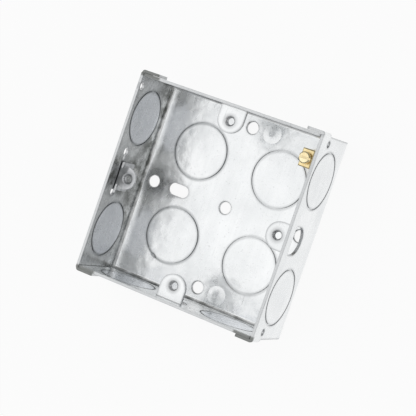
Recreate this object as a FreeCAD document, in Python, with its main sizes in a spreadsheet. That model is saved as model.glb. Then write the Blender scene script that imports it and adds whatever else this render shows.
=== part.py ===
"""Single-gang flush back box of folded galvanised steel, with an adjustable lug and an earth terminal.

The box lies on its back. X runs across it, Y up its height, and +Z out of its open mouth.
The origin is the middle of the outer face of the back. All sizes are millimetres.
"""
import FreeCAD, Part
import Sketcher
import math
import os

V = FreeCAD.Vector
doc = FreeCAD.newDocument("FlushBackBox")

# name, value, what it is
SIZES = [
    ("lug_span", 60.3, "centre to centre of opposite lug holes, which sets the size of the box"),
    ("side_inset", 5.85, "lug hole centres in from the outside of the side walls"),
    ("end_inset", 6.1, "lug hole centres in from the outside of the top and bottom walls"),
    ("box_depth", 26.5, "outside depth, back to rim"),
    ("sheet", 1.0, "thickness of the steel"),
    ("fold_radius", 1.2, "inside radius of each fold"),
    ("seam_gap", 0.2, "open seam between neighbouring walls"),
    ("seam_start", 3.0, "height above the back where the corner seams begin"),
    ("tab_length", 6.6, "length of each corner tab along the top or bottom wall"),
    ("tab_height", 6.8, "height of each corner tab"),
    ("tab_rim_drop", 0.4, "how far the tabs stop short of the rim"),
    ("tab_gap", 0.1, "gap between a tab and the wall under it"),
    ("relief_diameter", 2.4, "relief holes at the foot of the tabs of the right wall"),
    ("relief_inset", 2.7, "relief hole centre in from the outside of the wall"),
    ("knockout_diameter", 20.6, "knockout, to the middle of its sheared ring"),
    ("knockout_side_inset", 19.9, "back knockout centres in from the outside of the side walls"),
    ("knockout_end_inset", 20.15, "the same from the top and bottom walls"),
    ("wall_knockout_inset", 15.3, "wall knockout centres in from the outside of the next wall"),
    ("wall_knockout_foot", 4.05, "lowest point of a wall knockout above the outside of the back"),
    ("wall_knockout_drop", 1.75, "highest point of a wall knockout below the rim"),
    ("ring_width", 0.5, "width of the sheared ring"),
    ("ring_depth", 0.4, "depth of the ring on the inside"),
    ("ring_depth_outside", 0.35, "depth of the ring on the outside"),
    ("knockout_lift", 0.15, "how far each back disc stands proud of the inside"),
    ("lug_drop", 4.8, "lug face below the rim"),
    ("lug_width", 10.0, "width of each lug"),
    ("side_lug_offset", 0.8, "how far the side lugs sit below the middle"),
    ("lug_nose_reach", 4.2, "end of the lug past its hole centre"),
    ("lug_bore", 2.9, "tapping hole for an M3.5 screw"),
    ("collar_diameter", 4.8, "drawn collar round each lug hole"),
    ("collar_height", 1.2, "collar below the lug"),
    ("collar_lead", 0.7, "rolled-in edge at the top of the lug hole"),
    ("lug_fold_radius", 0.5, "inside radius where a lug leaves its wall"),
    ("window_reach", 7.8, "lowest point of the window below the underside of its lug"),
    ("back_hole", 4.4, "fixing holes in the back"),
    ("back_hole_offset", 0.15, "fixing holes further out than the lug holes"),
    ("hole_ease", 0.3, "eased edge of the fixing holes"),
    ("slot_length", 8.2, "fixing slot, end to end"),
    ("slot_gap", 4.4, "metal between the slot and the fixing hole beyond it"),
    ("dimple_offset", 8.0, "pressed dimples, across from the middle"),
    ("dimple_inset", 5.75, "pressed dimples in from the outside of the top and bottom walls"),
    ("dimple_foot", 7.0, "dimple diameter at its foot"),
    ("dimple_hollow", 6.0, "hollow under a dimple, across"),
    ("dimple_rise", 0.7, "height of a dimple"),
    ("rim_hole", 2.9, "small hole near the rim of the left wall"),
    ("rim_hole_inset", 4.75, "rim hole in from the outside of the top wall"),
    ("rim_hole_drop", 2.0, "rim hole centre below the rim"),
    ("track_width", 1.4, "slot in the left wall that the loose lug slides in"),
    ("track_end", 3.2, "round end of that slot"),
    ("track_pitch", 14.8, "centre to centre of its round ends"),
    ("track_drop", 6.4, "slot centre below the rim"),
    ("track_lift", 0.3, "slot centre above the middle"),
    ("slider_sheet", 1.0, "thickness of the loose lug"),
    ("slider_side_play", 0.1, "gap between the loose lug and each face of the wall"),
    ("slider_rest", 1.2, "loose lug below the middle as photographed"),
    ("slider_outset", 0.7, "loose lug hole further out than the fixed lug holes"),
    ("slider_head_width", 10.8, "outer head of the loose lug"),
    ("slider_head_depth", 5.2, "outer head, from the lug face down the wall"),
    ("slider_shoulder", 10.4, "width of the loose lug in its slot"),
    ("slider_neck", 6.2, "width between the turned-down ears"),
    ("slider_neck_length", 0.6, "notch beside the neck"),
    ("slider_corner", 0.8, "rounded corners of the head and ears"),
    ("slider_ear_depth", 8.0, "ears, from the lug face down the wall"),
    ("slider_nose", 8.2, "width of the nose of the loose lug"),
    ("slider_nose_reach", 3.1, "end of the nose past its hole centre"),
    ("terminal_width", 4.6, "earth terminal across the box"),
    ("terminal_length", 6.6, "earth terminal up the box"),
    ("terminal_height", 7.4, "earth terminal above the back"),
    ("terminal_side_inset", 10.1, "earth terminal centre in from the outside of the right wall"),
    ("terminal_end_inset", 9.55, "earth terminal centre in from the outside of the top wall"),
    ("wire_bore", 3.0, "earth wire hole through the terminal"),
    ("wire_bore_height", 2.9, "wire hole centre above the foot of the terminal"),
    ("spigot_diameter", 3.0, "stem riveted through the back"),
    ("stem_play", 0.05, "gap round the stem in its hole"),
    ("rivet_head", 4.2, "spread end of the stem, flush with the back"),
    ("rivet_sink", 0.6, "depth of the countersink that the stem is spread into"),
    ("terminal_ease", 0.35, "bevelled edges of the terminal and its screw head"),
    ("thread_bore", 3.4, "screw hole in the terminal"),
    ("screw_shank", 3.2, "clamp screw across its shank"),
    ("screw_head", 4.2, "clamp screw across its head"),
    ("screw_head_height", 1.3, "height of the screw head"),
    ("screw_head_lift", 1.2, "underside of the head above the terminal as photographed"),
    ("screw_tip", 4.6, "end of the screw above the foot of the terminal"),
    ("screw_point", 0.4, "bevel at the end of the screw"),
    ("driver_slot", 0.8, "width of the driver slot"),
    ("driver_slot_depth", 0.8, "depth of the driver slot"),
]

sheet = doc.addObject("Spreadsheet::Sheet", "Sizes")
for row, (name, size, note) in enumerate(SIZES, start=1):
    sheet.set("A%d" % row, name)
    sheet.set("B%d" % row, str(size))
    sheet.set("C%d" % row, note)
    sheet.setAlias("B%d" % row, name)
doc.recompute()


def value(expression):
    """A size or a sum of sizes as a number."""
    return float(sheet.evalExpression(expression))


def bind(target, path, expression):
    """Tie one property of an object to the sheet."""
    target.setExpression(path, expression)


def new_body(label):
    body = doc.addObject("PartDesign::Body", label)
    body.Label = label
    return body


def new_sketch(body, name, plane, offset):
    """A sketch on one of the body's own planes, lifted along that plane's normal."""
    sketch = body.newObject("Sketcher::SketchObject", name)
    support = [feature for feature in body.Origin.OriginFeatures if feature.Role == plane][0]
    sketch.AttachmentSupport = [(support, "")]
    sketch.MapMode = "FlatFace"
    bind(sketch, "AttachmentOffset.Base.z", offset)
    return sketch


def hold(sketch, kind, geometry, point, expression):
    """Hold one coordinate of a point, worked out from the sheet."""
    constraint = Sketcher.Constraint(kind, geometry, point, value(expression))
    index = sketch.addConstraint(constraint)
    bind(sketch, "Constraints[%d]" % index, expression)


def circle(sketch, x, y, diameter):
    centre = V(value(x), value(y), 0)
    index = sketch.addGeometry(Part.Circle(centre, V(0, 0, 1), value(diameter) / 2))
    hold(sketch, "DistanceX", index, 3, x)
    hold(sketch, "DistanceY", index, 3, y)
    size = sketch.addConstraint(Sketcher.Constraint("Diameter", index, value(diameter)))
    bind(sketch, "Constraints[%d]" % size, diameter)


def ring(sketch, x, y, diameter, width):
    circle(sketch, x, y, "%s + %s" % (diameter, width))
    circle(sketch, x, y, "%s - %s" % (diameter, width))


def mirrored(points, arcs, flip):
    """The outline turned over in x, y or both, kept anticlockwise."""
    across, up = flip
    moved = [("%d * (%s)" % (across, x), "%d * (%s)" % (up, y)) for x, y in points]
    bends = {}
    for side, (x, y, held, bulge) in arcs.items():
        centre = ("%d * (%s)" % (across, x), "%d * (%s)" % (up, y))
        bends[side] = (centre[0], centre[1], held, bulge)
    if across * up > 0:
        return moved, bends
    last = len(points) - 2
    bends = {(last - side) % len(points): bend for side, bend in bends.items()}
    return moved[::-1], bends


def outline(sketch, points, arcs=None, flip=(1, 1)):
    """A closed anticlockwise outline through the points. arcs gives, for the side that starts
    at a point, its centre, the coordinate of the centre that is held, and whether the arc
    bulges "out" of the shape or "in"."""
    points, arcs = mirrored(points, arcs or {}, flip)
    first = sketch.GeometryCount
    corners = [V(value(x), value(y), 0) for x, y in points]
    begins = []
    for side, start in enumerate(corners):
        finish = corners[(side + 1) % len(corners)]
        if side not in arcs:
            sketch.addGeometry(Part.LineSegment(start, finish))
            begins.append((1, 2))
            continue
        centre = V(value(arcs[side][0]), value(arcs[side][1]), 0)
        outward = arcs[side][3] == "out"
        low, high = (start, finish) if outward else (finish, start)
        low_angle = math.atan2(low.y - centre.y, low.x - centre.x)
        high_angle = math.atan2(high.y - centre.y, high.x - centre.x)
        if high_angle <= low_angle:
            high_angle += 2 * math.pi
        whole = Part.Circle(centre, V(0, 0, 1), (start - centre).Length)
        sketch.addGeometry(Part.ArcOfCircle(whole, low_angle, high_angle))
        begins.append((1, 2) if outward else (2, 1))
    for side in range(len(corners)):
        after = (side + 1) % len(corners)
        joint = ("Coincident", first + side, begins[side][1], first + after, begins[after][0])
        sketch.addConstraint(Sketcher.Constraint(*joint))
    for side, (x, y) in enumerate(points):
        hold(sketch, "DistanceX", first + side, begins[side][0], x)
        hold(sketch, "DistanceY", first + side, begins[side][0], y)
    for side, (x, y, held, bulge) in arcs.items():
        if held == "x":
            hold(sketch, "DistanceX", first + side, 3, x)
        else:
            hold(sketch, "DistanceY", first + side, 3, y)


def rectangle(sketch, low_x, high_x, low_y, high_y, flip=(1, 1)):
    corners = [(low_x, low_y), (high_x, low_y), (high_x, high_y), (low_x, high_y)]
    outline(sketch, corners, flip=flip)


def pad(body, name, sketch, length, against_normal=False):
    feature = body.newObject("PartDesign::Pad", name)
    feature.Profile = sketch
    feature.Reversed = against_normal
    bind(feature, "Length", length)
    return feature


def pocket(body, name, sketch, length, along_normal=False):
    feature = body.newObject("PartDesign::Pocket", name)
    feature.Profile = sketch
    feature.Reversed = along_normal
    bind(feature, "Length", length)
    return feature


def dome(body, name, kind, x, y, level, foot, rise):
    """A shallow cap of a sphere standing on a level, added to or taken from the body."""
    feature = body.newObject(kind, name)
    radius = "((%s)^2 / 8 / %s + %s / 2)" % (foot, rise, rise)
    bind(feature, "Placement.Base.x", x)
    bind(feature, "Placement.Base.y", y)
    bind(feature, "Placement.Base.z", "%s + %s - %s" % (level, rise, radius))
    bind(feature, "Radius", radius)
    bind(feature, "Angle1", "asin((%s - %s) / %s)" % (radius, rise, radius))
    return feature


def cone(body, name, kind, centre, foot, top, height):
    """An upright cone frustum, added to or taken from the body."""
    feature = body.newObject(kind, name)
    for axis, expression in zip("xyz", centre):
        bind(feature, "Placement.Base." + axis, expression)
    bind(feature, "Radius1", "(%s) / 2" % foot)
    bind(feature, "Radius2", "(%s) / 2" % top)
    bind(feature, "Height", height)
    return feature


def edges_where(feature, test):
    """Names of the edges whose ends and middle all pass the test."""
    doc.recompute()
    names = []
    for number, edge in enumerate(feature.Shape.Edges, start=1):
        middle = edge.valueAt((edge.FirstParameter + edge.LastParameter) / 2)
        spots = [vertex.Point for vertex in edge.Vertexes] + [middle]
        if all(test(spot) for spot in spots):
            names.append("Edge%d" % number)
    return names


def round_edges(body, name, base, test, radius):
    feature = body.newObject("PartDesign::Fillet", name)
    feature.Base = (base, edges_where(base, test))
    bind(feature, "Radius", radius)
    return feature


def bevel_edges(body, name, base, test, size):
    feature = body.newObject("PartDesign::Chamfer", name)
    feature.Base = (base, edges_where(base, test))
    bind(feature, "Size", size)
    return feature


def near(a, b):
    return abs(a - b) < 1e-4


def on_circle(point, x, y, diameter):
    return near(math.hypot(point.x - value(x), point.y - value(y)), value(diameter) / 2)


HALF_X = "(Sizes.lug_span / 2 + Sizes.side_inset)"
HALF_Y = "(Sizes.lug_span / 2 + Sizes.end_inset)"
INNER_X = "(Sizes.lug_span / 2 + Sizes.side_inset - Sizes.sheet)"
INNER_Y = "(Sizes.lug_span / 2 + Sizes.end_inset - Sizes.sheet)"
LUG_TOP = "(Sizes.box_depth - Sizes.lug_drop)"
LUG_FOOT = "(Sizes.box_depth - Sizes.lug_drop - Sizes.sheet)"
LUG_REACH = "Sizes.lug_span / 2"
TAB_FOOT = "(Sizes.box_depth - Sizes.tab_rim_drop - Sizes.tab_height)"
TERMINAL_X = "(%s - Sizes.terminal_side_inset)" % HALF_X
TERMINAL_Y = "(%s - Sizes.terminal_end_inset)" % HALF_Y
TERMINAL_TOP = "(Sizes.sheet + Sizes.terminal_height)"
CORNERS = [(1, 1), (-1, 1), (-1, -1), (1, -1)]

# Each wall: the plane of its sketches, the side of the middle that it lies on along that
# plane's normal, its outside and inside faces from the middle, and its own half length.
WALLS = {
    "right": ("YZ_Plane", 1, HALF_X, INNER_X, HALF_Y),
    "left": ("YZ_Plane", -1, HALF_X, INNER_X, HALF_Y),
    "top": ("XZ_Plane", -1, HALF_Y, INNER_Y, HALF_X),
    "bottom": ("XZ_Plane", 1, HALF_Y, INNER_Y, HALF_X),
}


def wall_sketch(wall, name, face):
    """A sketch on the inside or outside face of a wall: across the wall, then up from the back."""
    plane, side, outer, inner, half_length = WALLS[wall]
    distance = outer if face == "outside" else inner
    return new_sketch(box, name, plane, "%d * (%s)" % (side, distance))


def wall_cut(wall, name, sketch, face, depth):
    """Cuts into the wall from the face that the sketch lies on."""
    outward = WALLS[wall][1] > 0
    along_normal = outward if face == "inside" else not outward
    return pocket(box, name, sketch, depth, along_normal)


# The box: one folded sheet, its back and four walls
box = new_body("back_box")
footprint = new_sketch(box, "Footprint", "XY_Plane", "0")
rectangle(footprint, "-" + HALF_X, HALF_X, "-" + HALF_Y, HALF_Y)
block = pad(box, "FoldedBlock", footprint, "Sizes.box_depth")
round_edges(box, "OuterFolds", block, lambda p: near(p.z, 0), "Sizes.fold_radius + Sizes.sheet")
inside = new_sketch(box, "Inside", "XY_Plane", "Sizes.sheet")
rectangle(inside, "-" + INNER_X, INNER_X, "-" + INNER_Y, INNER_Y)
cavity = pocket(box, "Cavity", inside, "Sizes.box_depth", True)
floor_z = value("Sizes.sheet")
round_edges(box, "InnerFolds", cavity, lambda p: near(p.z, floor_z), "Sizes.fold_radius")

# Open seams where the top and bottom walls butt against the side walls
seams = new_sketch(box, "Seams", "XY_Plane", "Sizes.seam_start")
for corner in CORNERS:
    rectangle(seams, INNER_X + " - Sizes.seam_gap", INNER_X, INNER_Y + " - Sizes.seam_gap", HALF_Y, corner)
pocket(box, "SeamCut", seams, "Sizes.box_depth", True)

# Corner tabs: the side walls carry on round each corner and lie outside the top and bottom walls
tabs = new_sketch(box, "TabOutlines", "XY_Plane", TAB_FOOT)
tab_inner = "(" + HALF_Y + " + Sizes.tab_gap)"
tab_outer = "(" + HALF_Y + " + Sizes.tab_gap + Sizes.sheet)"
tab_bend = "(Sizes.sheet + Sizes.tab_gap)"
for corner in CORNERS:
    tab_points = [
        (HALF_X, HALF_Y + " - Sizes.sheet"),
        (HALF_X, tab_outer + " - " + tab_bend),
        (HALF_X + " - " + tab_bend, tab_outer),
        (HALF_X + " - Sizes.tab_length", tab_outer),
        (HALF_X + " - Sizes.tab_length", tab_inner),
        (INNER_X, tab_inner),
        (INNER_X, HALF_Y + " - Sizes.sheet"),
    ]
    tab_arcs = {1: (HALF_X + " - " + tab_bend, tab_outer + " - " + tab_bend, "x", "out")}
    outline(tabs, tab_points, tab_arcs, corner)
pad(box, "CornerTabs", tabs, "Sizes.tab_height")

# Relief hole at the foot of each tab of the right wall
relief = wall_sketch("right", "Relief", "outside")
for end in (1, -1):
    circle(relief, "%d * (%s - Sizes.relief_inset)" % (end, HALF_Y), TAB_FOOT, "Sizes.relief_diameter")
wall_cut("right", "ReliefCut", relief, "outside", "Sizes.sheet")

# Back knockouts: discs sheared part way and left a little proud of the inside
raised = new_sketch(box, "RaisedDiscs", "XY_Plane", "Sizes.sheet")
sunk = new_sketch(box, "SunkDiscs", "XY_Plane", "0")
ring_in = new_sketch(box, "BackRings", "XY_Plane", "Sizes.sheet + Sizes.knockout_lift")
ring_out = new_sketch(box, "BackRingsOutside", "XY_Plane", "0")
for across, up in CORNERS:
    disc_x = "%d * (%s - Sizes.knockout_side_inset)" % (across, HALF_X)
    disc_y = "%d * (%s - Sizes.knockout_end_inset)" % (up, HALF_Y)
    circle(raised, disc_x, disc_y, "Sizes.knockout_diameter - Sizes.ring_width")
    circle(sunk, disc_x, disc_y, "Sizes.knockout_diameter - Sizes.ring_width")
    ring(ring_in, disc_x, disc_y, "Sizes.knockout_diameter", "Sizes.ring_width")
    ring(ring_out, disc_x, disc_y, "Sizes.knockout_diameter", "Sizes.ring_width")
pad(box, "DiscsRaised", raised, "Sizes.knockout_lift")
pocket(box, "DiscsSunk", sunk, "Sizes.knockout_lift", True)
pocket(box, "BackRingCut", ring_in, "Sizes.ring_depth + Sizes.knockout_lift")
pocket(box, "BackRingCutOutside", ring_out, "Sizes.ring_depth_outside", True)

# Wall knockouts, two in each wall, as large as the depth of the box leaves room for
WALL_DISC = "(Sizes.box_depth - Sizes.wall_knockout_foot - Sizes.wall_knockout_drop - Sizes.ring_width)"
WALL_DISC_Z = "(Sizes.wall_knockout_foot + Sizes.ring_width / 2 + %s / 2)" % WALL_DISC
for wall in WALLS:
    for face, depth in (("inside", "Sizes.ring_depth"), ("outside", "Sizes.ring_depth_outside")):
        wall_rings = wall_sketch(wall, "Rings_%s_%s" % (wall, face), face)
        for end in (1, -1):
            across = "%d * (%s - Sizes.wall_knockout_inset)" % (end, WALLS[wall][4])
            ring(wall_rings, across, WALL_DISC_Z, WALL_DISC, "Sizes.ring_width")
        wall_cut(wall, "RingCut_%s_%s" % (wall, face), wall_rings, face, depth)

# Fixed lugs, bent inwards out of the right, top and bottom walls.
# Each: how far its middle lies along the wall, and its hole centre.
LUGS = {
    "right": ("-Sizes.side_lug_offset", (LUG_REACH, "-Sizes.side_lug_offset")),
    "top": ("0", ("0", LUG_REACH)),
    "bottom": ("0", ("0", "-" + LUG_REACH)),
}
BEND_OUTER = "(Sizes.lug_fold_radius + Sizes.sheet)"
HALF_LUG = "Sizes.lug_width / 2"


def lug_window(wall, middle):
    """The opening that the lug came out of, with its round foot towards the back."""
    window = wall_sketch(wall, "Window_" + wall, "outside")
    low = "%s - %s" % (middle, HALF_LUG)
    high = "%s + %s" % (middle, HALF_LUG)
    centre = LUG_FOOT + " - Sizes.window_reach + " + HALF_LUG
    points = [(low, LUG_FOOT), (low, centre), (high, centre), (high, LUG_FOOT)]
    outline(window, points, {1: (middle, centre, "y", "out")})
    wall_cut(wall, "WindowCut_" + wall, window, "outside", "Sizes.sheet")


def lug_plate(wall, middle):
    """The flat of the lug, from the outside of its wall to its round nose."""
    plate = new_sketch(box, "Lug_" + wall, "XY_Plane", LUG_FOOT)
    outer = WALLS[wall][2]
    nose_centre = "%s - Sizes.lug_nose_reach + %s" % (LUG_REACH, HALF_LUG)
    low = "%s - %s" % (middle, HALF_LUG)
    high = "%s + %s" % (middle, HALF_LUG)
    if wall == "right":
        points = [(outer, low), (outer, high), (nose_centre, high), (nose_centre, low)]
        outline(plate, points, {2: (nose_centre, middle, "x", "out")})
    else:
        points = [(low, outer), (low, nose_centre), (high, nose_centre), (high, outer)]
        flip = (1, 1) if wall == "top" else (1, -1)
        outline(plate, points, {1: (middle, nose_centre, "y", "out")}, flip)
    pad(box, "LugPlate_" + wall, plate, "Sizes.sheet")


def lug_bend(wall, middle):
    """Rounds the fold: material off the outside of the bend, and a fillet on its inside."""
    outer, inner = WALLS[wall][2], WALLS[wall][3]
    plane = "XZ_Plane" if wall == "right" else "YZ_Plane"
    flip = (-1, 1) if wall == "bottom" else (1, 1)
    if wall == "right":
        level = "-(%s - %s)" % (middle, HALF_LUG)
    else:
        level = "%s - %s" % (middle, HALF_LUG)
    along_normal = wall != "right"
    corner = new_sketch(box, "BendOutside_" + wall, plane, level)
    points = [
        (outer + " - " + BEND_OUTER, LUG_FOOT),
        (outer, LUG_FOOT),
        (outer, LUG_FOOT + " + " + BEND_OUTER),
    ]
    centre = (outer + " - " + BEND_OUTER, LUG_FOOT + " + " + BEND_OUTER)
    outline(corner, points, {2: (centre[0], centre[1], "x", "in")}, flip)
    pocket(box, "BendRound_" + wall, corner, "Sizes.lug_width", along_normal)
    fillet = new_sketch(box, "BendInside_" + wall, plane, level)
    points = [
        (inner + " - Sizes.lug_fold_radius", LUG_TOP),
        (inner, LUG_TOP),
        (inner, LUG_TOP + " + Sizes.lug_fold_radius"),
    ]
    centre = (inner + " - Sizes.lug_fold_radius", LUG_TOP + " + Sizes.lug_fold_radius")
    outline(fillet, points, {2: (centre[0], centre[1], "x", "in")}, flip)
    pad(box, "BendFillet_" + wall, fillet, "Sizes.lug_width", not along_normal)


for wall, (middle, _) in LUGS.items():
    lug_window(wall, middle)
    lug_plate(wall, middle)
    lug_bend(wall, middle)

# Drawn collar and tapping hole in each fixed lug
collars = new_sketch(box, "Collars", "XY_Plane", LUG_FOOT)
bores = new_sketch(box, "LugBores", "XY_Plane", LUG_TOP)
LUG_HOLES = [hole for _, hole in LUGS.values()]
for hole_x, hole_y in LUG_HOLES:
    circle(collars, hole_x, hole_y, "Sizes.collar_diameter")
    circle(bores, hole_x, hole_y, "Sizes.lug_bore")
pad(box, "CollarPad", collars, "Sizes.collar_height", True)
bored = pocket(box, "LugBoreCut", bores, "Sizes.sheet + Sizes.collar_height")
lug_top_z = value(LUG_TOP)


def at_lug_mouth(point):
    on_hole = any(on_circle(point, x, y, "Sizes.lug_bore") for x, y in LUG_HOLES)
    return near(point.z, lug_top_z) and on_hole


round_edges(box, "LugLead", bored, at_lug_mouth, "Sizes.collar_lead")

# Pressed dimples in the back, hollow on the outside
for name, end in (("Top", 1), ("Bottom", -1)):
    up = "%d * (%s - Sizes.dimple_inset)" % (end, HALF_Y)
    dome(box, "Dimple" + name, "PartDesign::AdditiveSphere",
         "Sizes.dimple_offset", up, "Sizes.sheet", "Sizes.dimple_foot", "Sizes.dimple_rise")
    dome(box, "DimpleHollow" + name, "PartDesign::SubtractiveSphere",
         "Sizes.dimple_offset", up, "0", "Sizes.dimple_hollow", "Sizes.dimple_rise")

# Holes in the back: four behind the lugs, one in the middle, and a slot
holes = new_sketch(box, "BackHoles", "XY_Plane", "Sizes.sheet")
reach = "(%s + Sizes.back_hole_offset)" % LUG_REACH
BACK_HOLES = [("0", "0"), (reach, "0"), ("-" + reach, "0"), ("0", reach), ("0", "-" + reach)]
for hole_x, hole_y in BACK_HOLES:
    circle(holes, hole_x, hole_y, "Sizes.back_hole")
slot_half = "Sizes.back_hole / 2"
slot_low = "-%s + Sizes.slot_gap + Sizes.back_hole" % reach
slot_high = "-%s + Sizes.slot_gap + Sizes.slot_length" % reach
slot_points = [(slot_low, "-" + slot_half), (slot_high, "-" + slot_half),
               (slot_high, slot_half), (slot_low, slot_half)]
slot_ends = {1: (slot_high, "0", "x", "out"), 3: (slot_low, "0", "x", "out")}
outline(holes, slot_points, slot_ends)
pierced = pocket(box, "BackHoleCut", holes, "Sizes.sheet")


def at_hole_mouth(point):
    return near(point.z, floor_z) and any(on_circle(point, x, y, "Sizes.back_hole") for x, y in BACK_HOLES)


bevel_edges(box, "HoleEase", pierced, at_hole_mouth, "Sizes.hole_ease")

# Rivet hole for the earth terminal, countersunk from behind
stem_hole = new_sketch(box, "StemHole", "XY_Plane", "Sizes.sheet")
circle(stem_hole, TERMINAL_X, TERMINAL_Y, "Sizes.spigot_diameter + 2 * Sizes.stem_play")
pocket(box, "StemHoleCut", stem_hole, "Sizes.sheet")
cone(box, "StemSink", "PartDesign::SubtractiveCone",
     (TERMINAL_X, TERMINAL_Y, "0"),
     "Sizes.rivet_head + 2 * Sizes.stem_play",
     "Sizes.spigot_diameter + 2 * Sizes.stem_play", "Sizes.rivet_sink")

# Small hole near the rim of the left wall
rim_hole = wall_sketch("left", "RimHole", "outside")
rim_hole_up = HALF_Y + " - Sizes.rim_hole_inset"
circle(rim_hole, rim_hole_up, "Sizes.box_depth - Sizes.rim_hole_drop", "Sizes.rim_hole")
wall_cut("left", "RimHoleCut", rim_hole, "outside", "Sizes.sheet")

# Track in the left wall for the loose lug: a slot with larger round ends
TRACK_Z = "(Sizes.box_depth - Sizes.track_drop)"
track = wall_sketch("left", "Track", "outside")
rectangle(track, "Sizes.track_lift - Sizes.track_pitch / 2", "Sizes.track_lift + Sizes.track_pitch / 2",
          TRACK_Z + " - Sizes.track_width / 2", TRACK_Z + " + Sizes.track_width / 2")
wall_cut("left", "TrackCut", track, "outside", "Sizes.sheet")
track_ends = wall_sketch("left", "TrackEnds", "outside")
for end in (1, -1):
    circle(track_ends, "Sizes.track_lift + %d * Sizes.track_pitch / 2" % end, TRACK_Z, "Sizes.track_end")
wall_cut("left", "TrackEndCut", track_ends, "outside", "Sizes.sheet")

# The loose lug: a pressed strip through the track. Its head is turned down outside the wall,
# two ears are turned down inside it, and its nose carries the tapped hole.
slider = new_body("adjustable_lug")
SLIDER_Y = "(-Sizes.slider_rest)"
SLIDER_FOOT = "(%s - Sizes.track_width / 2 + Sizes.slider_side_play)" % TRACK_Z
SLIDER_TOP = "(" + SLIDER_FOOT + " + Sizes.slider_sheet)"
SLIDER_HOLE = "-(%s + Sizes.slider_outset)" % LUG_REACH
HEAD_IN = "-(%s + Sizes.slider_side_play)" % HALF_X
HEAD_OUT = "-(%s + Sizes.slider_side_play + Sizes.slider_sheet)" % HALF_X
EAR_OUT = "-(%s - Sizes.slider_side_play)" % INNER_X
EAR_IN = "-(%s - Sizes.slider_side_play - Sizes.slider_sheet)" % INNER_X
NECK_END = "(%s + Sizes.slider_neck_length)" % EAR_IN
NOSE_CENTRE = "(%s + Sizes.slider_nose_reach - Sizes.slider_nose / 2)" % SLIDER_HOLE


def beside(width, side):
    return "%s + %d * Sizes.%s / 2" % (SLIDER_Y, side, width)


strip = new_sketch(slider, "Strip", "XY_Plane", SLIDER_FOOT)
lower = [
    (HEAD_OUT, beside("slider_shoulder", -1)),
    (EAR_IN, beside("slider_shoulder", -1)),
    (EAR_IN, beside("slider_neck", -1)),
    (NECK_END, beside("slider_neck", -1)),
    (NECK_END, beside("slider_nose", -1)),
    (NOSE_CENTRE, beside("slider_nose", -1)),
]
upper = [
    (NOSE_CENTRE, beside("slider_nose", 1)),
    (NECK_END, beside("slider_nose", 1)),
    (NECK_END, beside("slider_neck", 1)),
    (EAR_IN, beside("slider_neck", 1)),
    (EAR_IN, beside("slider_shoulder", 1)),
    (HEAD_OUT, beside("slider_shoulder", 1)),
]
outline(strip, lower + upper, {len(lower) - 1: (NOSE_CENTRE, SLIDER_Y, "x", "out")})
pad(slider, "StripPad", strip, "Sizes.slider_sheet")
head = new_sketch(slider, "Head", "XY_Plane", SLIDER_TOP)
rectangle(head, HEAD_OUT, HEAD_IN, beside("slider_head_width", -1), beside("slider_head_width", 1))
pad(slider, "HeadPad", head, "Sizes.slider_head_depth", True)
ears = new_sketch(slider, "Ears", "XY_Plane", SLIDER_TOP)
rectangle(ears, EAR_OUT, EAR_IN, beside("slider_shoulder", -1), beside("slider_neck", -1))
rectangle(ears, EAR_OUT, EAR_IN, beside("slider_neck", 1), beside("slider_shoulder", 1))
shaped = pad(slider, "EarPad", ears, "Sizes.slider_ear_depth", True)
slider_top_z = value(SLIDER_TOP)
bend_lines = [value(HEAD_OUT), value(EAR_IN)]
neck_edges = [value(beside("slider_neck", side)) for side in (1, -1)]


def at_bend(point):
    beyond_neck = point.y >= max(neck_edges) - 1e-4 or point.y <= min(neck_edges) + 1e-4
    on_head = near(point.x, bend_lines[0])
    return near(point.z, slider_top_z) and (on_head or (near(point.x, bend_lines[1]) and beyond_neck))


folded = round_edges(slider, "Bends", shaped, at_bend, "Sizes.slider_sheet * 0.9")
head_foot_z = slider_top_z - value("Sizes.slider_head_depth")
ear_foot_z = slider_top_z - value("Sizes.slider_ear_depth")


def at_foot_corner(point):
    return near(point.z, head_foot_z) or near(point.z, ear_foot_z)


def foot_corners(feature):
    """The short edges across the sheet at the foot of the head and the ears."""
    doc.recompute()
    names = []
    for number, edge in enumerate(feature.Shape.Edges, start=1):
        ends = [vertex.Point for vertex in edge.Vertexes]
        along_x = len(ends) == 2 and near(ends[0].y, ends[1].y) and near(ends[0].z, ends[1].z)
        if along_x and at_foot_corner(ends[0]):
            names.append("Edge%d" % number)
    return names


rounded = slider.newObject("PartDesign::Fillet", "FootCorners")
rounded.Base = (folded, foot_corners(folded))
bind(rounded, "Radius", "Sizes.slider_corner")
slider_collar = new_sketch(slider, "SliderCollar", "XY_Plane", SLIDER_FOOT)
circle(slider_collar, SLIDER_HOLE, SLIDER_Y, "Sizes.collar_diameter")
pad(slider, "SliderCollarPad", slider_collar, "Sizes.collar_height", True)
slider_bore = new_sketch(slider, "SliderBore", "XY_Plane", SLIDER_TOP)
circle(slider_bore, SLIDER_HOLE, SLIDER_Y, "Sizes.lug_bore")
slider_bored = pocket(slider, "SliderBoreCut", slider_bore, "Sizes.slider_sheet + Sizes.collar_height")


def at_slider_mouth(point):
    return near(point.z, slider_top_z) and on_circle(point, SLIDER_HOLE, SLIDER_Y, "Sizes.lug_bore")


round_edges(slider, "SliderLead", slider_bored, at_slider_mouth, "Sizes.collar_lead")

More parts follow.
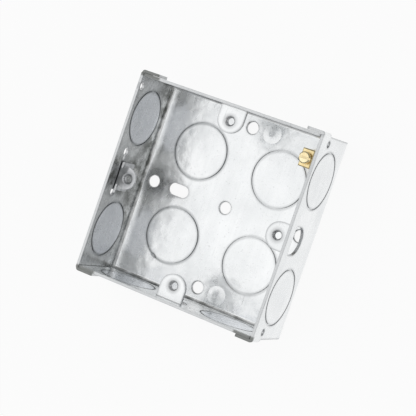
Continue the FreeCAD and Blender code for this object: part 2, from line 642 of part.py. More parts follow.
# Earth terminal: a brass block riveted to the back by its own stem
terminal = new_body("earth_terminal")
terminal_foot = new_sketch(terminal, "TerminalFoot", "XY_Plane", "Sizes.sheet")
rectangle(terminal_foot,
          TERMINAL_X + " - Sizes.terminal_width / 2", TERMINAL_X + " + Sizes.terminal_width / 2",
          TERMINAL_Y + " - Sizes.terminal_length / 2", TERMINAL_Y + " + Sizes.terminal_length / 2")
brick = pad(terminal, "TerminalBlock", terminal_foot, "Sizes.terminal_height")
terminal_top_z = value(TERMINAL_TOP)
bevel_edges(terminal, "TerminalEase", brick, lambda p: near(p.z, terminal_top_z), "Sizes.terminal_ease")
stem = new_sketch(terminal, "Stem", "XY_Plane", "Sizes.sheet")
circle(stem, TERMINAL_X, TERMINAL_Y, "Sizes.spigot_diameter")
pad(terminal, "StemPad", stem, "Sizes.sheet", True)
cone(terminal, "RivetHead", "PartDesign::AdditiveCone",
     (TERMINAL_X, TERMINAL_Y, "0"),
     "Sizes.rivet_head", "Sizes.spigot_diameter", "Sizes.rivet_sink")
wire_hole = new_sketch(terminal, "WireHole", "XZ_Plane",
                       "-(%s + Sizes.terminal_length / 2)" % TERMINAL_Y)
circle(wire_hole, TERMINAL_X, "Sizes.sheet + Sizes.wire_bore_height", "Sizes.wire_bore")
pocket(terminal, "WireHoleCut", wire_hole, "Sizes.terminal_length", True)
screw_hole = new_sketch(terminal, "ScrewHole", "XY_Plane", TERMINAL_TOP)
circle(screw_hole, TERMINAL_X, TERMINAL_Y, "Sizes.thread_bore")
pocket(terminal, "ScrewHoleCut", screw_hole, "Sizes.terminal_height - Sizes.wire_bore_height")

# Clamp screw of the terminal, a slotted cheese head
screw = new_body("earth_screw")
HEAD_FOOT = "(" + TERMINAL_TOP + " + Sizes.screw_head_lift)"
HEAD_TOP = "(" + HEAD_FOOT + " + Sizes.screw_head_height)"
SCREW_END = "(Sizes.sheet + Sizes.screw_tip)"
shank = new_sketch(screw, "Shank", "XY_Plane", SCREW_END)
circle(shank, TERMINAL_X, TERMINAL_Y, "Sizes.screw_shank")
shank_pad = pad(screw, "ShankPad", shank, HEAD_FOOT + " - " + SCREW_END)
screw_end_z = value(SCREW_END)
bevel_edges(screw, "ScrewPoint", shank_pad, lambda p: near(p.z, screw_end_z), "Sizes.screw_point")
head_disc = new_sketch(screw, "HeadDisc", "XY_Plane", HEAD_FOOT)
circle(head_disc, TERMINAL_X, TERMINAL_Y, "Sizes.screw_head")
head_pad = pad(screw, "HeadDiscPad", head_disc, "Sizes.screw_head_height")
head_top_z = value(HEAD_TOP)
bevel_edges(screw, "HeadEase", head_pad, lambda p: near(p.z, head_top_z), "Sizes.terminal_ease")
driver = new_sketch(screw, "DriverSlot", "XY_Plane", HEAD_TOP)
rectangle(driver,
          TERMINAL_X + " - Sizes.screw_head", TERMINAL_X + " + Sizes.screw_head",
          TERMINAL_Y + " - Sizes.driver_slot / 2", TERMINAL_Y + " + Sizes.driver_slot / 2")
pocket(screw, "DriverSlotCut", driver, "Sizes.driver_slot_depth")

doc.recompute()

# Every object sound, every cut a real cut, then one file for each piece
for thing in doc.Objects:
    if "Invalid" in thing.State or "Error" in thing.State:
        raise RuntimeError("%s is not sound: %s" % (thing.Name, thing.State))
    if thing.TypeId == "PartDesign::Pocket" or "Subtractive" in thing.TypeId:
        if thing.Shape.Volume >= thing.BaseFeature.Shape.Volume - 1e-6:
            raise RuntimeError("%s cuts nothing" % thing.Name)

os.makedirs("parts", exist_ok=True)
for body in (box, slider, terminal, screw):
    shape = body.Shape
    if shape.isNull() or not shape.isValid() or len(shape.Solids) != 1:
        raise RuntimeError("%s has no single sound solid" % body.Label)
    shape.exportStep("parts/%s.step" % body.Label)
    print(body.Label, "%.1f mm3" % shape.Volume, shape.BoundBox)
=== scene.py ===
import math

import bmesh
import bpy
from mathutils import Matrix, Vector


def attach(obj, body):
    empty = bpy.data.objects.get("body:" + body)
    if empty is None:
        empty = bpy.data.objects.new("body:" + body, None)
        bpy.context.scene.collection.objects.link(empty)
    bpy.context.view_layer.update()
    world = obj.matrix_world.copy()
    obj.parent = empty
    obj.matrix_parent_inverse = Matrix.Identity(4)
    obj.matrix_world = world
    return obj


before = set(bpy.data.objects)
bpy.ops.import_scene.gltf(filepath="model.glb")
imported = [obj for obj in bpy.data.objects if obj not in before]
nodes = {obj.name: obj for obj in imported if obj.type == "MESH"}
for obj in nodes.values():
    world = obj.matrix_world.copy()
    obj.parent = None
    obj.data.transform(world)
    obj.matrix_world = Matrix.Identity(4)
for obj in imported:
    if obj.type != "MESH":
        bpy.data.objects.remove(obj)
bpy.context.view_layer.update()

mm = 0.001


def newGroup(name, inputs, outputs):
    group = bpy.data.node_groups.new(name, "ShaderNodeTree")
    for label, kind, start in inputs:
        socket = group.interface.new_socket(label, in_out="INPUT", socket_type=kind)
        if start is not None:
            socket.default_value = start
    for label, kind in outputs:
        group.interface.new_socket(label, in_out="OUTPUT", socket_type=kind)
    return group


def fill(tree, socket, value):
    if isinstance(value, bpy.types.NodeSocket):
        tree.links.new(value, socket)
    else:
        socket.default_value = value


def add(tree, kind, values=None, **settings):
    node = tree.nodes.new(kind)
    for key, value in settings.items():
        setattr(node, key, value)
    for key, value in (values or {}).items():
        fill(tree, node.inputs[key], value)
    return node


def maths(tree, operation, first, second=0.0, clamp=False):
    node = add(tree, "ShaderNodeMath", {0: first, 1: second}, operation=operation, use_clamp=clamp)
    return node.outputs[0]


def product(tree, first, *others):
    for other in others:
        first = maths(tree, "MULTIPLY", first, other)
    return first


def vectors(tree, operation, first, second=(0.0, 0.0, 0.0)):
    return add(tree, "ShaderNodeVectorMath", {0: first, 1: second}, operation=operation).outputs


def split(tree, vector):
    return add(tree, "ShaderNodeSeparateXYZ", {0: vector}).outputs


def ramp(tree, value, low, high, fromLow=0.0, fromHigh=1.0, smooth=False):
    values = {"Value": value, "From Min": fromLow, "From Max": fromHigh, "To Min": low, "To Max": high}
    kind = "SMOOTHSTEP" if smooth else "LINEAR"
    return add(tree, "ShaderNodeMapRange", values, interpolation_type=kind).outputs["Result"]


def within(tree, value, span, low=0.0, high=1.0, smooth=False):
    # a ramp between two distances in millimetres
    return ramp(tree, value, low, high, span[0] * mm, span[1] * mm, smooth)


def noise(tree, where, scale, detail=2.0, rough=0.5):
    values = {"Vector": where, "Scale": scale, "Detail": detail, "Roughness": rough}
    return add(tree, "ShaderNodeTexNoise", values).outputs["Fac"]


def stretch(tree, where, scale, turn=(0.0, 0.0, 0.0)):
    return add(tree, "ShaderNodeMapping", {"Vector": where, "Scale": scale, "Rotation": turn}).outputs[0]


def mixColour(tree, factor, first, second, blend="MIX"):
    node = add(tree, "ShaderNodeMix", data_type="RGBA", blend_type=blend)
    for number, value in ((0, factor), (6, first), (7, second)):
        fill(tree, node.inputs[number], value)
    return node.outputs[2]


def mixValue(tree, factor, first, second):
    return add(tree, "ShaderNodeMix", {0: factor, 2: first, 3: second}, data_type="FLOAT").outputs[0]


def grey(tree, value):
    return add(tree, "ShaderNodeCombineColor", {0: value, 1: value, 2: value}).outputs[0]


print("shared surface effects")
# the zinc coat: tone, rough and relief say how far each effect changes colour, roughness and height
spangle = {"scale": 330.0, "warpScale": 150.0, "warpDetail": 2.0, "warp": 0.0022, "tone": 0.12,
           "rough": 0.03, "relief": 0.15}
streak = {"scale": 520.0, "stretch": 0.05, "detail": 4.0, "endWall": 0.7, "tone": 0.5, "relief": 0.4}
cloud = {"scale": 60.0, "detail": 5.0, "fine": 0.6, "span": (0.34, 0.68), "tone": 0.45,
         "rough": (0.05, -0.03)}
speck = {"scale": 1500.0, "span": (0.27, 0.36), "darkest": 0.86, "relief": 0.12}
scuff = {"scale": 210.0, "lineScale": 1890.0, "detail": 1.0, "stretch": 0.035, "tilt": 0.3,
         "patch": (0.52, 0.62), "line": (0.72, 0.78), "tone": 0.35, "rough": 0.15, "relief": 0.5,
         "turnAndShift": ((0.5, 0.0), (1.9, 0.03), (2.7, 0.07))}
wave = {"scale": 230.0, "detail": 1.5, "relief": 8.5}
# bends painted pale: a painted highlight along the folds, partly the pale crazed zinc
crazedBendSheen = {"span": (0.86, 0.995), "tone": 0.8, "rough": 0.06}
easing = {"x": (31.4, 35.06), "z": (4.6, 0.94), "steepness": 1.45, "inside": (35.5, 35.75, 6.0),
          "above": 0.5, "relief": 13.0}


def easedFold(group, where):
    # the side folds ease into the flat back and walls over a few millimetres inside
    x, y, z = split(group, vectors(group, "ABSOLUTE", where)[0])
    rise = 0.0
    for side, key in ((x, "x"), (z, "z")):
        lift = within(group, side, easing[key], 0.0, easing["steepness"])
        rise = maths(group, "ADD", product(group, lift, lift), rise)
    for side, limit in zip((x, y, z), easing["inside"]):
        rise = product(group, rise, maths(group, "LESS_THAN", side, limit * mm))
    return product(group, rise, maths(group, "GREATER_THAN", z, easing["above"] * mm))


def scuffMarks(group, where):
    # short scratches in three directions, each kept to its own patches
    marks = None
    for turn, shift in scuff["turnAndShift"]:
        moved = vectors(group, "ADD", where, (shift, shift, shift))[0]
        drawn = stretch(group, moved, (1.0, scuff["stretch"], 1.0), (0.0, scuff["tilt"], turn))
        scratches = noise(group, drawn, scuff["lineScale"], scuff["detail"])
        patches = noise(group, moved, scuff["scale"], scuff["detail"])
        line = product(group, ramp(group, scratches, 0.0, 1.0, *scuff["line"]),
                       ramp(group, patches, 0.0, 1.0, *scuff["patch"]))
        marks = line if marks is None else maths(group, "MAXIMUM", marks, line)
    return marks


def zincGroup():
    # bright rolled zinc: faint spangle, mill streaks, soft stains and handling scuffs
    group = newGroup(
        "zincSurface",
        [("Coordinates", "NodeSocketVector", None), ("Normal", "NodeSocketVector", None),
         ("Light", "NodeSocketColor", (1, 1, 1, 1)), ("Dark", "NodeSocketColor", (0.5, 0.5, 0.5, 1)),
         ("Roughness", "NodeSocketFloat", 0.3)],
        [("Colour", "NodeSocketColor"), ("Roughness", "NodeSocketFloat"), ("Height", "NodeSocketFloat")])
    source = add(group, "NodeGroupInput")
    where = source.outputs["Coordinates"]
    facing = split(group, vectors(group, "ABSOLUTE", source.outputs["Normal"])[0])
    warp = add(group, "ShaderNodeTexNoise",
               {"Vector": where, "Scale": spangle["warpScale"], "Detail": spangle["warpDetail"]})
    bent = add(group, "ShaderNodeVectorMath", {0: warp.outputs["Color"], "Scale": spangle["warp"]},
               operation="SCALE")
    warped = vectors(group, "ADD", where, bent.outputs[0])[0]
    cells = add(group, "ShaderNodeTexVoronoi", {"Vector": warped, "Scale": spangle["scale"]})
    grain = add(group, "ShaderNodeSeparateColor", {0: cells.outputs["Color"]}).outputs[0]
    # the strip was rolled along Y, so the streaks turn up with the two end walls
    endWall = maths(group, "GREATER_THAN", facing[1], streak["endWall"])
    onBack = stretch(group, where, (1.0, streak["stretch"], 1.0))
    onWall = stretch(group, where, (1.0, 1.0, streak["stretch"]))
    alongBack = noise(group, onBack, streak["scale"], streak["detail"])
    alongWall = noise(group, onWall, streak["scale"], streak["detail"])
    streaks = mixValue(group, endWall, alongBack, alongWall)
    clouds = noise(group, where, cloud["scale"], cloud["detail"], cloud["fine"])
    smudge = ramp(group, clouds, 0.0, 1.0, *cloud["span"])
    specks = noise(group, where, speck["scale"])
    scuffs = scuffMarks(group, where)
    tone = product(group, smudge, cloud["tone"])
    tone = maths(group, "ADD", tone, product(group, grain, spangle["tone"]))
    tone = maths(group, "ADD", tone, product(group, streaks, streak["tone"]), clamp=True)
    tone = maths(group, "SUBTRACT", tone, product(group, scuffs, scuff["tone"]), clamp=True)
    colour = mixColour(group, tone, source.outputs["Dark"], source.outputs["Light"])
    pits = ramp(group, specks, speck["darkest"], 1.0, *speck["span"])
    colour = mixColour(group, 1.0, colour, grey(group, pits), "MULTIPLY")
    # the zinc crazes and turns matt where the sheet is bent, and the bends are painted pale: partly crazed
    # zinc, partly a painted highlight along the folds
    squarest = maths(group, "MAXIMUM", maths(group, "MAXIMUM", facing[0], facing[1]), facing[2])
    crazedSheen = ramp(group, squarest, 1.0, 0.0, *crazedBendSheen["span"], True)
    colour = mixColour(group, product(group, crazedSheen, crazedBendSheen["tone"]), colour, source.outputs["Light"])
    rough = source.outputs["Roughness"]
    for change in (ramp(group, grain, -spangle["rough"], spangle["rough"]),
                   ramp(group, smudge, *cloud["rough"]), product(group, scuffs, scuff["rough"]),
                   product(group, crazedSheen, crazedBendSheen["rough"])):
        rough = maths(group, "ADD", rough, change)
    waves = noise(group, where, wave["scale"], wave["detail"])
    height = product(group, grain, spangle["relief"])
    for effect, depth in ((specks, speck["relief"]), (waves, wave["relief"]), (streaks, streak["relief"]),
                          (scuffs, -scuff["relief"]), (easedFold(group, where), easing["relief"])):
        height = maths(group, "ADD", height, product(group, effect, depth))
    add(group, "NodeGroupOutput", {"Colour": colour, "Roughness": rough, "Height": height})
    return group


edgeReach = {"cut": 0.92, "crevice": 1.8, "samples": 6, "cutSpan": (0.5, 0.9), "creviceSpan": (0.12, 0.5)}


def edgeGroup():
    # where the sheet is cut, and where two faces nearly meet; the second mask darkens corners, gaps and
    # recesses as painted shade
    group = newGroup(
        "sheetEdges",
        [("Reach", "NodeSocketFloat", edgeReach["cut"] * mm),
         ("Crevice Reach", "NodeSocketFloat", edgeReach["crevice"] * mm)],
        [("Cut", "NodeSocketFloat"), ("Crevice", "NodeSocketFloat")])
    source = add(group, "NodeGroupInput")
    thin = add(group, "ShaderNodeAmbientOcclusion", {"Distance": source.outputs["Reach"]},
               inside=True, only_local=True, samples=edgeReach["samples"])
    deep = add(group, "ShaderNodeAmbientOcclusion", {"Distance": source.outputs["Crevice Reach"]},
               samples=edgeReach["samples"])
    cut = ramp(group, thin.outputs["AO"], 1.0, 0.0, *edgeReach["cutSpan"])
    crevice = ramp(group, deep.outputs["AO"], 1.0, 0.0, *edgeReach["creviceSpan"])
    add(group, "NodeGroupOutput", {"Cut": cut, "Crevice": crevice})
    return group


# knockout discs: centres from the middle of the box, radius to the sheared ring
discs = {"back": (16.1, 16.1, 10.3), "sideWall": (20.95, 14.4, 10.1), "endWall": (20.7, 14.4, 10.1)}
# ring lines: painted shade in the sheared groove, darker towards the loose lug
ringLine = {"line": (0.1, 0.9), "discEdge": 0.3, "flat": 0.9, "ringShadeSpan": (-22.0, 12.0), "lightEndShare": 0.3}


def ringGroup():
    # each sheared ring, its line of painted shade, and the disc inside it
    group = newGroup(
        "knockoutRings", [("Coordinates", "NodeSocketVector", None), ("Normal", "NodeSocketVector", None)],
        [("Ring", "NodeSocketFloat"), ("Groove", "NodeSocketFloat"), ("Disc", "NodeSocketFloat")])
    source = add(group, "NodeGroupInput")
    where = source.outputs["Coordinates"]
    x, y, z = split(group, vectors(group, "ABSOLUTE", where)[0])
    facing = split(group, vectors(group, "ABSOLUTE", source.outputs["Normal"])[0])
    groove, disc = None, None
    for key, across, up, axis in (("back", x, y, 2), ("sideWall", y, z, 0), ("endWall", x, z, 1)):
        centreX, centreY, radius = discs[key]
        offX = maths(group, "SUBTRACT", across, centreX * mm)
        offY = maths(group, "SUBTRACT", up, centreY * mm)
        offset = add(group, "ShaderNodeCombineXYZ", {0: offX, 1: offY}).outputs[0]
        reach = vectors(group, "LENGTH", offset)["Value"]
        here = maths(group, "GREATER_THAN", facing[axis], ringLine["flat"])
        gap = maths(group, "ABSOLUTE", maths(group, "SUBTRACT", reach, radius * mm))
        line = product(group, within(group, gap, ringLine["line"], 1.0, 0.0, True), here)
        edge = (radius - ringLine["discEdge"], radius)
        inner = product(group, within(group, reach, edge, 1.0, 0.0, True), here)
        groove = line if groove is None else maths(group, "ADD", groove, line)
        disc = inner if disc is None else maths(group, "ADD", disc, inner)
    # the ring line's painted shade grows darker towards the loose lug, standing in for the reflections there
    along = split(group, where)[0]
    shadedRing = product(group, groove, within(group, along, ringLine["ringShadeSpan"], 1.0, ringLine["lightEndShare"]))
    add(group, "NodeGroupOutput", {"Ring": shadedRing, "Groove": groove, "Disc": disc})
    return group


# painted shade: low on the inside walls, round the slot, at the wall feet and in the corner tab seams
lowWallShade = {"inside": 10.0, "sideWall": 0.5, "height": (4.0, 17.0), "rimShare": 0.45,
            "lowerEnd": (-30.0, -14.0), "endShare": 0.6, "slotMiddle": -1.0, "slotReach": (5.0, 11.0)}
blotch = {"scale": 200.0, "detail": 5.0, "fine": 0.65, "span": (0.38, 0.6), "palest": 0.4}
footShade = {"height": (2.0, 4.2), "share": 0.75, "rest": 0.1, "upwards": (0.0, 10.0), "topShare": 0.25}
tabSeamShade = {"span": ((28.0, 28.8), (34.9, 35.5), (25.0, 25.8)), "spared": (45.0, 55.0),
            "sparedShare": 0.1}


def wallShadingGroup():
    # painted shade inside, in blotches: on the side walls low down and round the slot, on the end walls at
    # the foot
    group = newGroup(
        "wallShading", [("Coordinates", "NodeSocketVector", None), ("Normal", "NodeSocketVector", None)],
        [("Shade", "NodeSocketFloat"), ("Inside", "NodeSocketFloat"), ("Seam", "NodeSocketFloat")])
    source = add(group, "NodeGroupInput")
    where, normal = source.outputs["Coordinates"], source.outputs["Normal"]
    outward = vectors(group, "DOT_PRODUCT", where, normal)["Value"]
    inside = maths(group, "LESS_THAN", outward, -lowWallShade["inside"] * mm)
    across, up, height = split(group, where)
    low = within(group, height, lowWallShade["height"], 1.0, lowWallShade["rimShare"], True)
    low = product(group, low, within(group, up, lowWallShade["lowerEnd"], lowWallShade["endShare"], 1.0, True))
    fromSlot = maths(group, "ABSOLUTE", maths(group, "SUBTRACT", up, lowWallShade["slotMiddle"] * mm))
    low = maths(group, "MAXIMUM", low, within(group, fromSlot, lowWallShade["slotReach"], 1.0, 0.0, True))
    patches = noise(group, where, blotch["scale"], blotch["detail"], blotch["fine"])
    blotches = ramp(group, patches, blotch["palest"], 1.0, *blotch["span"])
    sideways = maths(group, "ABSOLUTE", split(group, normal)[0])
    sideWall = maths(group, "GREATER_THAN", sideways, lowWallShade["sideWall"])
    foot = within(group, height, footShade["height"], footShade["share"], 0.0, True)
    foot = maths(group, "ADD", foot, footShade["rest"])
    foot = product(group, foot, within(group, up, footShade["upwards"], 1.0, footShade["topShare"], True))
    wallShade = product(group, mixValue(group, sideWall, foot, low), blotches, inside)
    # painted shade in the rim edges of the corner tabs, in the gaps between tab and wall, least at the top
    # right
    seam = 1.0
    for side, span in zip(split(group, vectors(group, "ABSOLUTE", where)[0]), tabSeamShade["span"]):
        seam = product(group, within(group, side, span), seam)
    corner = maths(group, "ADD", across, up)
    seam = product(group, seam, within(group, corner, tabSeamShade["spared"], 1.0, tabSeamShade["sparedShare"]))
    add(group, "NodeGroupOutput", {"Shade": wallShade, "Inside": inside, "Seam": seam})
    return group


# painted shade on the dished collars round the screw holes
collarShade = {"reach": (1.9, 3.4), "above": 17.0}


def collarGroup():
    # painted shade on the dished collar where the metal was drawn down round a screw hole
    group = newGroup(
        "drawnCollar", [("Coordinates", "NodeSocketVector", None), ("Centre", "NodeSocketVector", (0, 0, 0))],
        [("Collar", "NodeSocketFloat")])
    source = add(group, "NodeGroupInput")
    where = source.outputs["Coordinates"]
    offset = vectors(group, "SUBTRACT", where, source.outputs["Centre"])[0]
    flat = vectors(group, "MULTIPLY", offset, (1, 1, 0))[0]
    reach = vectors(group, "LENGTH", flat)["Value"]
    onLug = maths(group, "GREATER_THAN", split(group, where)[2], collarShade["above"] * mm)
    collar = product(group, within(group, reach, collarShade["reach"], 1.0, 0.0, True), onLug)
    add(group, "NodeGroupOutput", {"Collar": collar})
    return group


# painted shadow in the slot of the loose lug
slotShadowPlace = {"centre": (-35.5 * mm, -1.0 * mm, 20.1 * mm),
               "span": ((0.55, 0.95), (4.6, 6.2), (0.7, 1.1))}


def slotGroup():
    # painted black shadow along the slot that the loose lug slides in
    group = newGroup(
        "slotShadow", [("Coordinates", "NodeSocketVector", None)], [("Shadow", "NodeSocketFloat")])
    source = add(group, "NodeGroupInput")
    offset = vectors(group, "SUBTRACT", source.outputs["Coordinates"], slotShadowPlace["centre"])[0]
    slotDark = 1.0
    for side, span in zip(split(group, vectors(group, "ABSOLUTE", offset)[0]), slotShadowPlace["span"]):
        slotDark = product(group, within(group, side, span, 1.0, 0.0, True), slotDark)
    add(group, "NodeGroupOutput", {"Shadow": slotDark})
    return group


zincSurface = zincGroup()
sheetEdges = edgeGroup()
knockoutRings = ringGroup()
wallShading = wallShadingGroup()
drawnCollar = collarGroup()
slotShadow = slotGroup()


def placed(tree, group, place, *inputs):
    # a shared effect, fed with the texture coordinates that it asks for
    node = add(tree, "ShaderNodeGroup", node_tree=group)
    tree.links.new(place["Object"], node.inputs["Coordinates"])
    if "Normal" in inputs:
        tree.links.new(place["Normal"], node.inputs["Normal"])
    return node


# disc, slot and crevice shares: a painted reflection on the discs, a painted shadow in the slot, painted
# shade in crevices
steelWear = {"disc": 0.7, "groove": 0.75, "slotDark": 0.95, "crevice": 0.85, "cutRough": 0.15,
             "depth": 0.08 * mm}


def steelMaterial(name, finish):
    material = bpy.data.materials.new(name)
    material.use_nodes = True
    tree = material.node_tree
    shader = tree.nodes["Principled BSDF"]
    place = add(tree, "ShaderNodeTexCoord").outputs
    surface = placed(tree, zincSurface, place, "Normal")
    surface.inputs["Light"].default_value = finish["light"]
    surface.inputs["Dark"].default_value = finish["dark"]
    surface.inputs["Roughness"].default_value = finish["roughness"]
    edges = add(tree, "ShaderNodeGroup", node_tree=sheetEdges)
    colour = surface.outputs["Colour"]
    cut = product(tree, edges.outputs["Cut"], finish["cutShare"])
    crevice = product(tree, edges.outputs["Crevice"], steelWear["crevice"])
    if "ringShadeColour" in finish:
        rings = placed(tree, knockoutRings, place, "Normal").outputs
        wallShade = placed(tree, wallShading, place, "Normal").outputs
        offDisc = maths(tree, "SUBTRACT", 1.0, rings["Disc"])
        # the knockout discs are painted paler and bluer inside: a painted reflection
        discReflection = product(tree, rings["Disc"], wallShade["Inside"], steelWear["disc"])
        colour = mixColour(tree, discReflection, colour, finish["discReflectionColour"])
        # painted shade low on the walls, round the slot and at the wall feet, kept off the discs
        wallShadeShare = product(tree, wallShade["Shade"], offDisc, finish["wallShadeShare"])
        colour = mixColour(tree, wallShadeShare, colour, finish["paintedShadeColour"])
        # the ring lines are painted darker: painted shade in the groove
        ringShadeShare = product(tree, rings["Ring"], finish["ringShadeShare"])
        colour = mixColour(tree, ringShadeShare, colour, finish["ringShadeColour"])
        # a ring is too narrow for the edge and crevice effects, so they are held back in it
        bare = maths(tree, "SUBTRACT", 1.0, product(tree, rings["Groove"], steelWear["groove"]))
        cut = product(tree, cut, bare)
        crevice = product(tree, crevice, bare)
    colour = mixColour(tree, cut, colour, finish["cutColour"])
    if "ringShadeColour" in finish:
        # painted shade in the corner tab seams
        seamShare = product(tree, wallShade["Seam"], finish["seamShare"])
        colour = mixColour(tree, seamShare, colour, finish["paintedShadeColour"])
    # painted shade on the collars round the screw holes
    for centre in finish["holes"]:
        collar = placed(tree, drawnCollar, place)
        collar.inputs["Centre"].default_value = [value * mm for value in centre]
        collarShare = product(tree, collar.outputs["Collar"], finish["collarShare"])
        colour = mixColour(tree, collarShare, colour, finish["collarShadeColour"])
    # painted shadow along the slot
    if finish["slotShadowed"]:
        slotDark = placed(tree, slotShadow, place).outputs["Shadow"]
        slotDarkShare = product(tree, slotDark, steelWear["slotDark"])
        colour = mixColour(tree, slotDarkShare, colour, finish["creviceShadeColour"])
    # painted shade in crevices, gaps and recesses
    colour = mixColour(tree, crevice, colour, finish["creviceShadeColour"])
    tree.links.new(colour, shader.inputs["Base Color"])
    rough = maths(tree, "ADD", surface.outputs["Roughness"], product(tree, cut, steelWear["cutRough"]))
    tree.links.new(rough, shader.inputs["Roughness"])
    relief = add(tree, "ShaderNodeBump", {"Height": surface.outputs["Height"], "Strength": finish["bump"],
                                          "Distance": steelWear["depth"]})
    tree.links.new(relief.outputs[0], shader.inputs["Normal"])
    shader.inputs["Metallic"].default_value = 1.0
    return material


brassWear = {"lineScale": 3000.0, "lineStretch": 0.1, "lineDetail": 3.0, "stainScale": 420.0,
             "stainDetail": 4.0, "share": 0.5, "toneSpan": (0.35, 0.65), "creviceShade": 0.6, "dull": 0.1,
             "shiny": 0.05, "wornSpan": (0.3, 0.7), "bump": 0.25, "depth": 0.05 * mm}


def brassMaterial(name, finish):
    material = bpy.data.materials.new(name)
    material.use_nodes = True
    tree = material.node_tree
    shader = tree.nodes["Principled BSDF"]
    where = add(tree, "ShaderNodeTexCoord").outputs["Object"]
    drawn = stretch(tree, where, (1.0, brassWear["lineStretch"], 1.0))
    lines = noise(tree, drawn, brassWear["lineScale"], brassWear["lineDetail"])
    stain = noise(tree, where, brassWear["stainScale"], brassWear["stainDetail"])
    tone = product(tree, lines, brassWear["share"])
    tone = maths(tree, "ADD", tone, product(tree, stain, brassWear["share"]))
    shade = ramp(tree, tone, 0.0, 1.0, *brassWear["toneSpan"])
    colour = mixColour(tree, shade, finish["dark"], finish["light"])
    edges = add(tree, "ShaderNodeGroup", node_tree=sheetEdges)
    # painted shade in the crevices of the brass
    creviceShadeShare = product(tree, edges.outputs["Crevice"], brassWear["creviceShade"])
    colour = mixColour(tree, creviceShadeShare, colour, finish["creviceShade"])
    tree.links.new(colour, shader.inputs["Base Color"])
    dullest = finish["roughness"] + brassWear["dull"]
    shiniest = finish["roughness"] - brassWear["shiny"]
    worn = ramp(tree, stain, dullest, shiniest, *brassWear["wornSpan"])
    tree.links.new(worn, shader.inputs["Roughness"])
    relief = add(tree, "ShaderNodeBump",
                 {"Height": tone, "Strength": brassWear["bump"], "Distance": brassWear["depth"]})
    tree.links.new(relief.outputs[0], shader.inputs["Normal"])
    shader.inputs["Metallic"].default_value = 1.0
    return material


def dress(node, material):
    for slot in nodes[node].material_slots:
        slot.material = material


print("materials on the packed nodes")
# box and lug finishes: the crevice, wall, ring and collar colours are painted shade, the disc colour a
# painted reflection
boxFinish = {"light": (0.96, 0.97, 0.975, 1), "dark": (0.78, 0.80, 0.81, 1), "roughness": 0.25, "bump": 0.35,
             "cutColour": (0.38, 0.39, 0.40, 1), "cutShare": 0.8, "creviceShadeColour": (0.10, 0.105, 0.11, 1),
             "ringShadeColour": (0.46, 0.48, 0.49, 1), "ringShadeShare": 0.65, "discReflectionColour": (0.76, 0.785, 0.83, 1),
             "paintedShadeColour": (0.13, 0.135, 0.125, 1), "wallShadeShare": 0.95, "seamShare": 0.8, "slotShadowed": True,
             "holes": ((0, 30.15, 0), (0, -30.15, 0), (30.15, -0.8, 0)),
             "collarShadeColour": (0.40, 0.41, 0.42, 1), "collarShare": 0.48}
lugFinish = {"light": (0.78, 0.79, 0.80, 1), "dark": (0.33, 0.34, 0.36, 1), "roughness": 0.3, "bump": 0.9,
             "cutColour": (0.70, 0.71, 0.72, 1), "cutShare": 0.5, "creviceShadeColour": (0.05, 0.05, 0.055, 1),
             "slotShadowed": True, "holes": ((-30.85, -1.2, 0),),
             "collarShadeColour": (0.24, 0.25, 0.26, 1), "collarShare": 0.5}
threadFinish = {"light": (0.62, 0.63, 0.64, 1), "dark": (0.34, 0.35, 0.36, 1), "roughness": 0.3, "bump": 0.3,
                "cutColour": (0.40, 0.41, 0.42, 1), "cutShare": 0.3, "creviceShadeColour": (0.05, 0.05, 0.055, 1),
                "slotShadowed": False, "holes": ()}
# the brass crevice colour is painted shade
blockFinish = {"light": (1.0, 0.87, 0.54, 1), "dark": (0.96, 0.73, 0.34, 1), "roughness": 0.3,
               "creviceShade": (0.22, 0.12, 0.04, 1)}
screwFinish = {"light": (1.0, 0.91, 0.62, 1), "dark": (0.93, 0.73, 0.38, 1), "roughness": 0.26,
               "creviceShade": (0.20, 0.12, 0.05, 1)}
screwBrass = brassMaterial("screwBrass", screwFinish)
dress("back_box", steelMaterial("galvanisedSheet", boxFinish))
dress("adjustable_lug", steelMaterial("platedLug", lugFinish))
dress("earth_terminal", brassMaterial("terminalBrass", blockFinish))
dress("earth_screw", screwBrass)

sharpAngle = math.radians(40)


def keepPiece(name, shape, material, body):
    bmesh.ops.recalc_face_normals(shape, faces=shape.faces[:])
    mesh = bpy.data.meshes.new(name)
    shape.to_mesh(mesh)
    shape.free()
    mesh.shade_smooth()
    mesh.set_sharp_from_angle(angle=sharpAngle)
    mesh.materials.append(material)
    piece = bpy.data.objects.new(name, mesh)
    bpy.context.collection.objects.link(piece)
    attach(piece, body)


def spun(shape, centre, axis, rise, angle, steps):
    bmesh.ops.spin(
        shape, geom=shape.verts[:] + shape.edges[:] + shape.faces[:], cent=centre, axis=axis,
        dvec=rise, angle=angle, steps=steps, use_merge=False, use_duplicate=False)


def threadRidge(name, ridge, material):
    # one turned ridge of a screw thread; its root lies a little inside the metal
    perTurn = ridge["perTurn"]
    steps = round((ridge["high"] - ridge["low"]) / ridge["pitch"] * perTurn)
    x, y = ridge["centre"]
    half = ridge["pitch"] * ridge["flank"]
    shape = bmesh.new()
    profile = [shape.verts.new(Vector((x + radius, y, ridge["low"] + lift)) * mm)
               for radius, lift in ((ridge["root"], -half), (ridge["crest"], 0.0), (ridge["root"], half))]
    shape.faces.new(profile)
    spun(shape, (x * mm, y * mm, 0), (0, 0, 1), (0, 0, ridge["pitch"] * mm / perTurn),
         math.tau * steps / perTurn, steps)
    keepPiece(name, shape, material, ridge["body"])


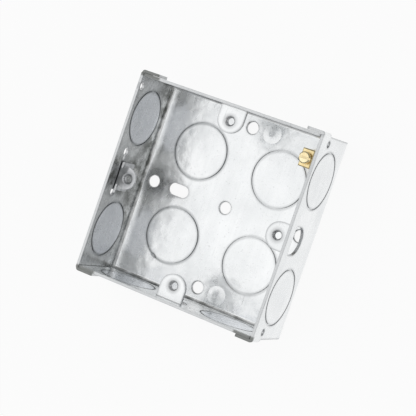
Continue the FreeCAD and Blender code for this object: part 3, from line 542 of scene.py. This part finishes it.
print("threads in the lugs")
threadSteel = steelMaterial("threadSteel", threadFinish)
tapped = {"low": 19.75, "high": 20.9, "pitch": 0.6, "flank": 0.4, "root": 1.5, "crest": 1.24, "perTurn": 28,
          "body": "box", "slot": "galvanised_steel"}
for label, centre in (("Top", (0.0, 30.15)), ("Bottom", (0.0, -30.15)), ("Right", (30.15, -0.8))):
    threadRidge("lugThread" + label, dict(tapped, centre=centre), threadSteel)
looseTapped = dict(tapped, centre=(-30.85, -1.2), low=18.55, high=19.7, body="sliding_lug", slot="lug_steel")
threadRidge("looseLugThread", looseTapped, threadSteel)

print("torn burr")
ringBurr = {"disc": (-16.1, -16.1), "bearing": -116, "radius": 10.35, "top": 1.72, "curl": 1.1, "arc": 120,
            "width": 0.9, "tipWidth": 0.36, "thick": 0.28, "steps": 12}


def tornBurr(name, burr, material):
    # a curl of metal left where a knockout was sheared, both its ends still in the sheet
    turn = math.radians(burr["bearing"])
    outwards = Vector((math.cos(turn), math.sin(turn), 0))
    x, y = burr["disc"]
    foot = Vector((x, y, burr["top"] - burr["curl"])) + outwards * burr["radius"]
    shape = bmesh.new()
    wide, narrow = burr["width"] / 2, burr["tipWidth"] / 2
    corners = [(-wide, 0), (wide, 0), (narrow, -burr["thick"]), (-narrow, -burr["thick"])]
    profile = [shape.verts.new((foot + outwards * across + Vector((0, 0, burr["curl"] + lift))) * mm)
               for across, lift in corners]
    shape.faces.new(profile)
    half = math.radians(burr["arc"]) / 2
    bmesh.ops.rotate(shape, cent=foot * mm, matrix=Matrix.Rotation(-half, 3, outwards), verts=shape.verts[:])
    spun(shape, foot * mm, outwards, (0, 0, 0), half * 2, burr["steps"])
    keepPiece(name, shape, material, "box")


tornBurr("knockoutBurr", ringBurr, threadSteel)

print("thread on the clamp screw")
clampThread = {"centre": (25.9, 26.7), "low": 6.3, "high": 9.25, "pitch": 0.7, "flank": 0.4, "root": 1.57,
               "crest": 1.68, "perTurn": 28, "body": "clamp_screw", "slot": "screw_brass"}
threadRidge("clampScrewThread", clampThread, screwBrass)

print("floor and light")
# the floor shows itself as plain white to the camera and in reflections, and keeps the box's shadow
floorSettings = {"half": 1.5, "drop": 0.02 * mm, "albedo": 0.9, "cameraWhite": 0.9, "glossyWhite": 0.93,
                 "glow": 1.0}
floorCorners = [(-1, -1), (1, -1), (1, 1), (-1, 1)]
floorMesh = bpy.data.meshes.new("floor")
floorMesh.from_pydata(
    [(x * floorSettings["half"], y * floorSettings["half"], -floorSettings["drop"]) for x, y in floorCorners],
    [], [(0, 1, 2, 3)])
floor = bpy.data.objects.new("floor", floorMesh)
bpy.context.collection.objects.link(floor)
floorMaterial = bpy.data.materials.new("paleFloor")
floorMaterial.use_nodes = True
tree = floorMaterial.node_tree
tree.nodes.clear()
matt = add(tree, "ShaderNodeBsdfDiffuse", {"Color": (floorSettings["albedo"],) * 3 + (1,)})
white = add(tree, "ShaderNodeEmission", {"Color": (1, 1, 1, 1), "Strength": floorSettings["glow"]})
rays = add(tree, "ShaderNodeLightPath").outputs
share = maths(tree, "ADD", product(tree, rays["Is Camera Ray"], floorSettings["cameraWhite"]),
              product(tree, rays["Is Glossy Ray"], floorSettings["glossyWhite"]))
mixed = add(tree, "ShaderNodeMixShader", {0: share, 1: matt.outputs[0], 2: white.outputs[0]})
add(tree, "ShaderNodeOutputMaterial", {"Surface": mixed.outputs[0]})
floorMesh.materials.append(floorMaterial)

studio = {"colour": (1, 1, 1, 1), "strength": 0.56}
world = bpy.data.worlds.new("studio")
bpy.context.scene.world = world
world.use_nodes = True
background = world.node_tree.nodes["Background"]
background.inputs["Color"].default_value = studio["colour"]
background.inputs["Strength"].default_value = studio["strength"]

softboxes = [
    {"name": "keyBox", "at": (-0.42, 0.05, 1.13), "size": 1.5, "power": 3.45},
    {"name": "sideBox", "at": (1.13, 0.25, 0.74), "size": 0.8, "power": 1.2},
]
for box in softboxes:
    light = bpy.data.lights.new(box["name"], "AREA")
    light.size = box["size"]
    light.energy = box["power"]
    lamp = bpy.data.objects.new(box["name"], light)
    lamp.location = box["at"]
    lamp.rotation_euler = Vector(box["at"]).to_track_quat("Z", "Y").to_euler()
    bpy.context.collection.objects.link(lamp)

print("camera")
view = {
    "at": (0.203158, 0.035807, 0.475962),
    "right": (0.8552721, 0.3255829, -0.4031196),
    "up": (-0.3265386, 0.9426927, 0.0685785),
    "back": (0.4023459, 0.0729808, 0.9125742),
    "lens": 125.14,
    "sensor": 36.0,
    "nearest": 0.01,
}
lens = bpy.data.cameras.new("photoCamera")
lens.lens = view["lens"]
lens.sensor_width = view["sensor"]
lens.clip_start = view["nearest"]
camera = bpy.data.objects.new("photoCamera", lens)
axes = Matrix((view["right"], view["up"], view["back"])).transposed()
camera.matrix_world = Matrix.Translation(view["at"]) @ axes.to_4x4()
bpy.context.collection.objects.link(camera)
bpy.context.scene.camera = camera
bpy.context.scene.view_settings.view_transform = "Standard"
